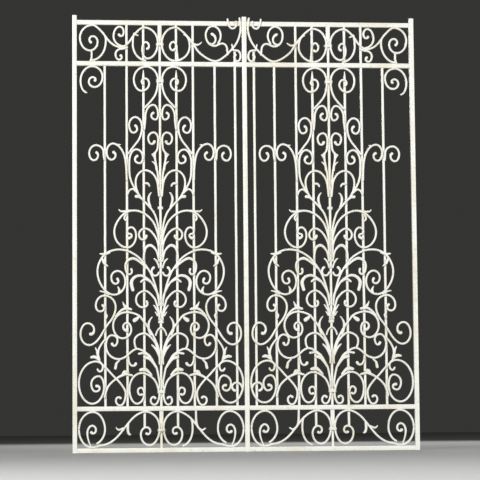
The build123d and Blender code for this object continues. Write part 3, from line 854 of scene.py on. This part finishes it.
        self.design("palm_leaves", [
            [(-96, 552, 110, 11), (-103, 580, N, 12), (-72, 607, E, 9), (-38, 588, 318), (-11, 542, 295, 7),
             (-7, 516, S, STEM)],
            [(-72, 583, 40, 7), (-55, 594, E, 9), (-31, 580, 320, 6)],
        ], crown=LEAF_CROWN)
        self.design("heart_curls", [
            [(-21, 636, 190, 10), (-32, 621, S), (-20, 606, E), (-7, 620, N)],
        ])
        self.design("middle_buds", [
            [(-53, 517, 0, EYE), (-47, 507, S), (-64, 496, W), (-87, 522, N), (-55, 553, E), (-21, 525, 306),
             (-7, 478, 285), (-7, 450, S, STEM)],
        ])

    def foot(self) -> None:
        """Foot of the main field, from the side scrolls to the lower cross rail."""
        self.design("side_s_scrolls", [
            [(-207, 504, E, EYE), (-198, 493, S), (-212, 482, W), (-227, 502, N), (-197, 537, E), (-158, 497, S),
             (-182, 441, 228), (-207, 402, 240), (-250, 365, W), (-280, 402, N), (-256, 441, E), (-233, 418, S),
             (-243, 403, W, EYE), (-250, 405, 170, EYE)],
            [(-196, 480, 300, 6), (-189, 467, S, 8), (-194, 452, 240, 4)],
        ])
        self.design("lower_roundels", [
            [(-114, 415, 190, EYE), (-132, 428, N), (-118, 442, E), (-104, 418, S), (-134, 388, W), (-167, 432, N),
             (-120, 479, E), (-76, 466, 327), (-48, 430, 306), (-26, 393, 298), (-7, 342, 282),
             (-7, 312, S, STEM)],
        ])
        self.design("crown_leaves", [
            [(-160, 462, 55, 5), (-122, 492, E, 10), (-101, 488, 340, 8)],
            [(-134, 516, 290, 3), (-126, 500, 310, 10), (-112, 492, 330, 10)],
            [(-98, 447, 20, 12), (-89, 453, 28, 14), (-72, 465, 20, 5)],
        ], crown=LEAF_CROWN)
        self.design("lyre_leaves", [
            [(-30, 463, 225, 4), (-44, 432, S, 9), (-34, 398, 305, 7)],
            [(-27, 504, 320, 4), (-15, 488, 307, 7), (-6, 460, 285, 5)],
            [(0, 425, W, 6), (-13, 414, 240, 6), (-19, 396, 260, 6)],
            [(-21, 480, 315, 4), (-11, 464, 295, 6)],
        ], crown=LEAF_CROWN)
        self.design("lower_s_scrolls", [
            [(-171, 373, S, EYE), (-163, 362, E), (-152, 382, N), (-171, 399, W), (-192, 365, S), (-150, 316, E),
             (-113, 333, 45), (-83, 351, E), (-42, 329, 321), (-17, 287, 298), (-7, 240, 280), (-7, 212, S, STEM)],
            [(-114, 326, 265), (-99, 292, E), (-88, 304, N, EYE)],
            [(-143, 313, 215, 5), (-157, 297, 265, 9), (-160, 280, 265, 10)],
        ])
        self.design("fern_arcs", [
            [(-84, 351, 150), (-93, 378, N), (-58, 405, E), (-22, 374, 305), (-7, 326, 283), (-7, 296, S, STEM)],
            [(-81, 334, 0, 8), (-60, 336, 355), (-40, 324, 325, 6)],
            [(-62, 321, 0, 8), (-42, 318, 340, 12), (-17, 284, 300, 6)],
            [(-34, 366, 325, 4), (-20, 352, 310, 8), (-6, 320, 290, 6)],
        ])
        self.design("acanthus_sprays", [
            [(-247, 322, 5, 7), (-235, 324, E, 11), (-212, 312, 335, 9)],
            [(-229, 357, 280, 4), (-222, 340, 275, 9), (-216, 314, 280, 9)],
        ], crown=LEAF_CROWN)
        self.design("crossing_scrolls", [
            [(-192, 388, 228, 6), (-218, 346, 260), (-216, 311, 285), (-198, 291, 318), (-158, 249, 315),
             (-124, 197, S), (-143, 155, W), (-158, 172, N), (-148, 184, E), (-141, 177, S, 10)],
        ])
        self.design("base_scrolls", [
            [(-229, 222, 20, EYE), (-214, 215, S), (-228, 204, W), (-243, 230, N), (-217, 257, E), (-199, 220, S),
             (-240, 162, W), (-286, 232, N), (-228, 308, E), (-206, 299, 320)],
            [(-222, 284, 280), (-213, 273, E), (-203, 289, N), (-213, 305, 150)],
        ])
        self.design("base_links", [
            [(-197, 180, N), (-188, 214, 70), (-155, 249, 35), (-124, 264, 20, 10), (-98, 258, 345)],
            [(-137, 262, 60, 4), (-128, 272, 10, 10), (-112, 270, 340, 6)],
        ])
        self.design("base_roundels", [
            [(-65, 195, 225, 10), (-74, 191, W), (-82, 205, N), (-70, 216, E), (-60, 196, S), (-85, 161, W),
             (-111, 212, N), (-68, 267, E), (-28, 248, 317), (-7, 192, 278)],
            [(-77, 276, 20, 9), (-58, 280, E, 14), (-32, 258, 310, 6)],
        ])
        self.design("foot_curls", [
            [(-7, 196, S), (-24, 157, W), (-37, 171, N), (-28, 184, E), (-21, 176, S, 10)],
        ])
        self.design("mullion_curls", [
            [(261, 204, 190, 10), (247, 217, N), (263, 232, E), (282, 212, S)],
        ], Half.INNER)

    def bottom_frieze(self) -> None:
        """Scrolls between the bottom rail and the lower cross rail."""
        self.design("bottom_frieze_s_scrolls", [
            [(-226, 23, 25), (-196, 73, N), (-238, 133, W), (-286, 73, S)],
            [(-286, 73, S), (-240, 11, E), (-208, 18, 5), (-142, 60, 52), (-105, 106, 45), (-55, 133, E),
             (-7, 78, S), (-42, 17, W), (-72, 55, N), (-52, 79, E), (-39, 66, S), (-48, 55, W), (-55, 60, 140, EYE)],
        ])
        self.design("bottom_frieze_eyes", [
            [(-243, 13, 120, 4), (-257, 60, N, 7), (-240, 86, E), (-227, 71, S), (-237, 59, W), (-246, 66, 130, EYE)],
        ])
        self.design("bottom_frieze_leaves", [
            [(-158, 80, 295, 4), (-148, 71, E), (-130, 79, 30, 6)],
            [(-114, 96, 250, 5), (-117, 75, 265, 9), (-114, 58, 290, 9), (-106, 54, E, 6)],
        ], Half.OUTER, crown=LEAF_CROWN)
        self.design("bottom_frieze_arcs", [
            [(102, 109, 305), (108, 72, S), (72, 14, 190)],
            [(120, 136, S, 7), (121, 97, 275, 8), (143, 68, E), (154, 75, 35, 5)],
        ], Half.INNER)


@dataclass
class Bindings(SubAssembly):
    """Collars round the centre bars and their scrolls, and beads threaded on the centre bars."""

    strap: float = 2.5
    collar_inside: float = 21.6
    collar_height: float = 11.0
    frieze_collar_height: float = 9.0
    bead_width: float = 20.0
    bead_height: float = 10.0
    bead_depth: float = 14.0
    bead_wall: float = 6.0
    corner: float = 3.0
    collar_squareness: float = 0.3
    bead_squareness: float = 0.6
    main_lines: tuple[float, ...] = (210.0, 1303.0)
    frieze_lines: tuple[float, ...] = (77.0, 1433.0)
    bead_lines: tuple[float, ...] = (453.0, 853.0)

    def build(self) -> None:
        """Forge the collars and the beads."""
        depths = self.layout.depths
        across = (self.collar_inside + self.strap) / 2
        front, back = depths.collar_front + self.strap / 2, depths.bar_back + self.strap / 2
        for node, lines, height in (("main_collars", self.main_lines, self.collar_height),
                                    ("frieze_collars", self.frieze_lines, self.frieze_collar_height)):
            self._loops(node, lines, height, self.strap, across, (front, back), self.collar_squareness)
        middle = (depths.bar_front + depths.bar_back) / 2
        deep = (self.bead_depth - self.bead_wall) / 2
        self._loops("centre_bar_beads", self.bead_lines, self.bead_height, self.bead_wall,
                    (self.bead_width - self.bead_wall) / 2, (middle - deep, middle + deep), self.bead_squareness)

    def _loops(self, node: str, lines: tuple[float, ...], height: float, wall: float, across: float,
               through: Spot, squareness: float) -> None:
        """Forge one kind of binding as closed loops round both centre bars, and dress it.

        Args:
            node: The node's name.
            lines: Heights of their middle lines, in mm.
            height: Height of the strap.
            wall: Thickness of the strap.
            across: Half of the width of its middle line.
            through: Front and back of its middle line.
            squareness: How rounded its section is.
        """
        parts = []
        for line in lines:
            drawing = Drawing(node)
            for place in (-self.layout.panel_reach, self.layout.panel_reach):
                drawing.loop((place, sum(through) / 2), across, (through[1] - through[0]) / 2, self.corner)
            parts.append(self.forge.forge(node + "_loops", drawing.curve, self.paint, line, Plane.LEVEL,
                                          Width=wall * MM, Depth=height * MM, Squareness=squareness,
                                          Tip_share=1.0, Unevenness=0.0))
        self.dress(join(parts, node + self.ending), node)


def join(parts: list[bpy.types.Object], name: str) -> bpy.types.Object:
    """Join mesh pieces into the first of them.

    Args:
        parts: The pieces to join.
        name: Name of the joined piece.

    Returns:
        The joined piece.
    """
    with bpy.context.temp_override(active_object=parts[0], object=parts[0], selected_objects=parts,
                                   selected_editable_objects=parts):
        bpy.ops.object.join()
    parts[0].name = name
    return parts[0]


@dataclass(frozen=True)
class Light:
    """A large soft light: its name, its place in metres, the side of its square face and its power in watts."""

    name: str
    place: Triple
    size: float
    power: float


@dataclass
class Studio:
    """Floor, soft lights and the camera at the photograph's viewing angle."""

    azimuth: float = -5.46
    elevation: float = -5.36
    distance: float = 7.41
    lens: float = 158.0
    roll: float = -0.49
    target: Triple = (0.0, 0.0, 0.768)
    shift: Spot = (-0.012, -0.0165)
    floor_reach: float = 30.0
    floor_colour: Triple = (0.48, 0.48, 0.47)
    floor_roughness: float = 0.9
    room_colour: Triple = (0.035, 0.036, 0.033)
    lights: tuple[Light, ...] = (Light("key", (-2.4, -6.0, 2.8), 2.4, 335.0),
                                 Light("fill", (3.6, -5.4, 1.2), 2.6, 130.0),
                                 Light("rim", (0.8, 4.4, 3.0), 2.6, 110.0))

    def build(self) -> None:
        """Set up the whole studio."""
        bpy.context.scene.view_settings.view_transform = "Standard"
        self._floor()
        self._world()
        for light in self.lights:
            self._hang(light)
        self._camera()

    def _floor(self) -> None:
        """Lay the plain pale floor."""
        mesh = bpy.data.meshes.new("floor")
        reach = self.floor_reach
        mesh.from_pydata([(-reach, -reach, 0), (reach, -reach, 0), (reach, reach, 0), (-reach, reach, 0)], [],
                         [(0, 1, 2, 3)])
        material = bpy.data.materials.new("pale_floor")
        material.use_nodes = True
        shader = material.node_tree.nodes["Principled BSDF"]
        shader.inputs["Base Color"].default_value = (*self.floor_colour, 1.0)
        shader.inputs["Roughness"].default_value = self.floor_roughness
        mesh.materials.append(material)
        put("floor", mesh)

    def _world(self) -> None:
        """Light the room with an even soft grey."""
        world = bpy.data.worlds.new("studio")
        world.use_nodes = True
        background = world.node_tree.nodes["Background"]
        background.inputs["Color"].default_value = (*self.room_colour, 1.0)
        background.inputs["Strength"].default_value = 1.0
        bpy.context.scene.world = world

    def _hang(self, light: Light) -> None:
        """Hang a light that faces the grille.

        Args:
            light: The light.
        """
        data = bpy.data.lights.new(light.name, "AREA")
        data.size = light.size
        data.energy = light.power
        lamp = put(light.name, data)
        lamp.location = light.place
        lamp.rotation_euler = (Vector(self.target) - Vector(light.place)).to_track_quat("-Z", "Y").to_euler()

    def _camera(self) -> None:
        """Place the camera where the photograph was taken from, low and a little to the left."""
        turn, rise = math.radians(self.azimuth), math.radians(self.elevation)
        back = Vector((math.sin(turn) * math.cos(rise), -math.cos(turn) * math.cos(rise), math.sin(rise)))
        data = bpy.data.cameras.new("camera")
        data.lens = self.lens
        data.shift_x, data.shift_y = self.shift
        data.clip_end = 100.0
        camera = put("camera", data)
        aim = (-back).to_track_quat("-Z", "Y").to_matrix().to_4x4()
        level = Matrix.Rotation(math.radians(self.roll), 4, "Z")
        camera.matrix_world = Matrix.Translation(Vector(self.target) + back * self.distance) @ aim @ level
        bpy.context.scene.camera = camera


def main() -> None:
    """Set up the studio and build the sub-assemblies in order, logging the faces of each piece."""
    logging.basicConfig(level=logging.INFO, format="%(message)s")
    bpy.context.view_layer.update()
    layout = Layout()
    forge = ForgedBarTree()
    enamel = Enamel("ivory_enamel_frame").make()
    scroll_enamel = Enamel("ivory_enamel_scrolls", brush_marks=(300.0, 300.0, 300.0)).make()
    Studio().build()
    for assembly in (Frame(layout, forge, enamel), UprightBars(layout, forge, enamel),
                     Scrollwork(layout, forge, scroll_enamel), Bindings(layout, forge, scroll_enamel)):
        assembly.build()
        log.info("%s done", type(assembly).__name__)


if __name__ == "__main__":
    main()
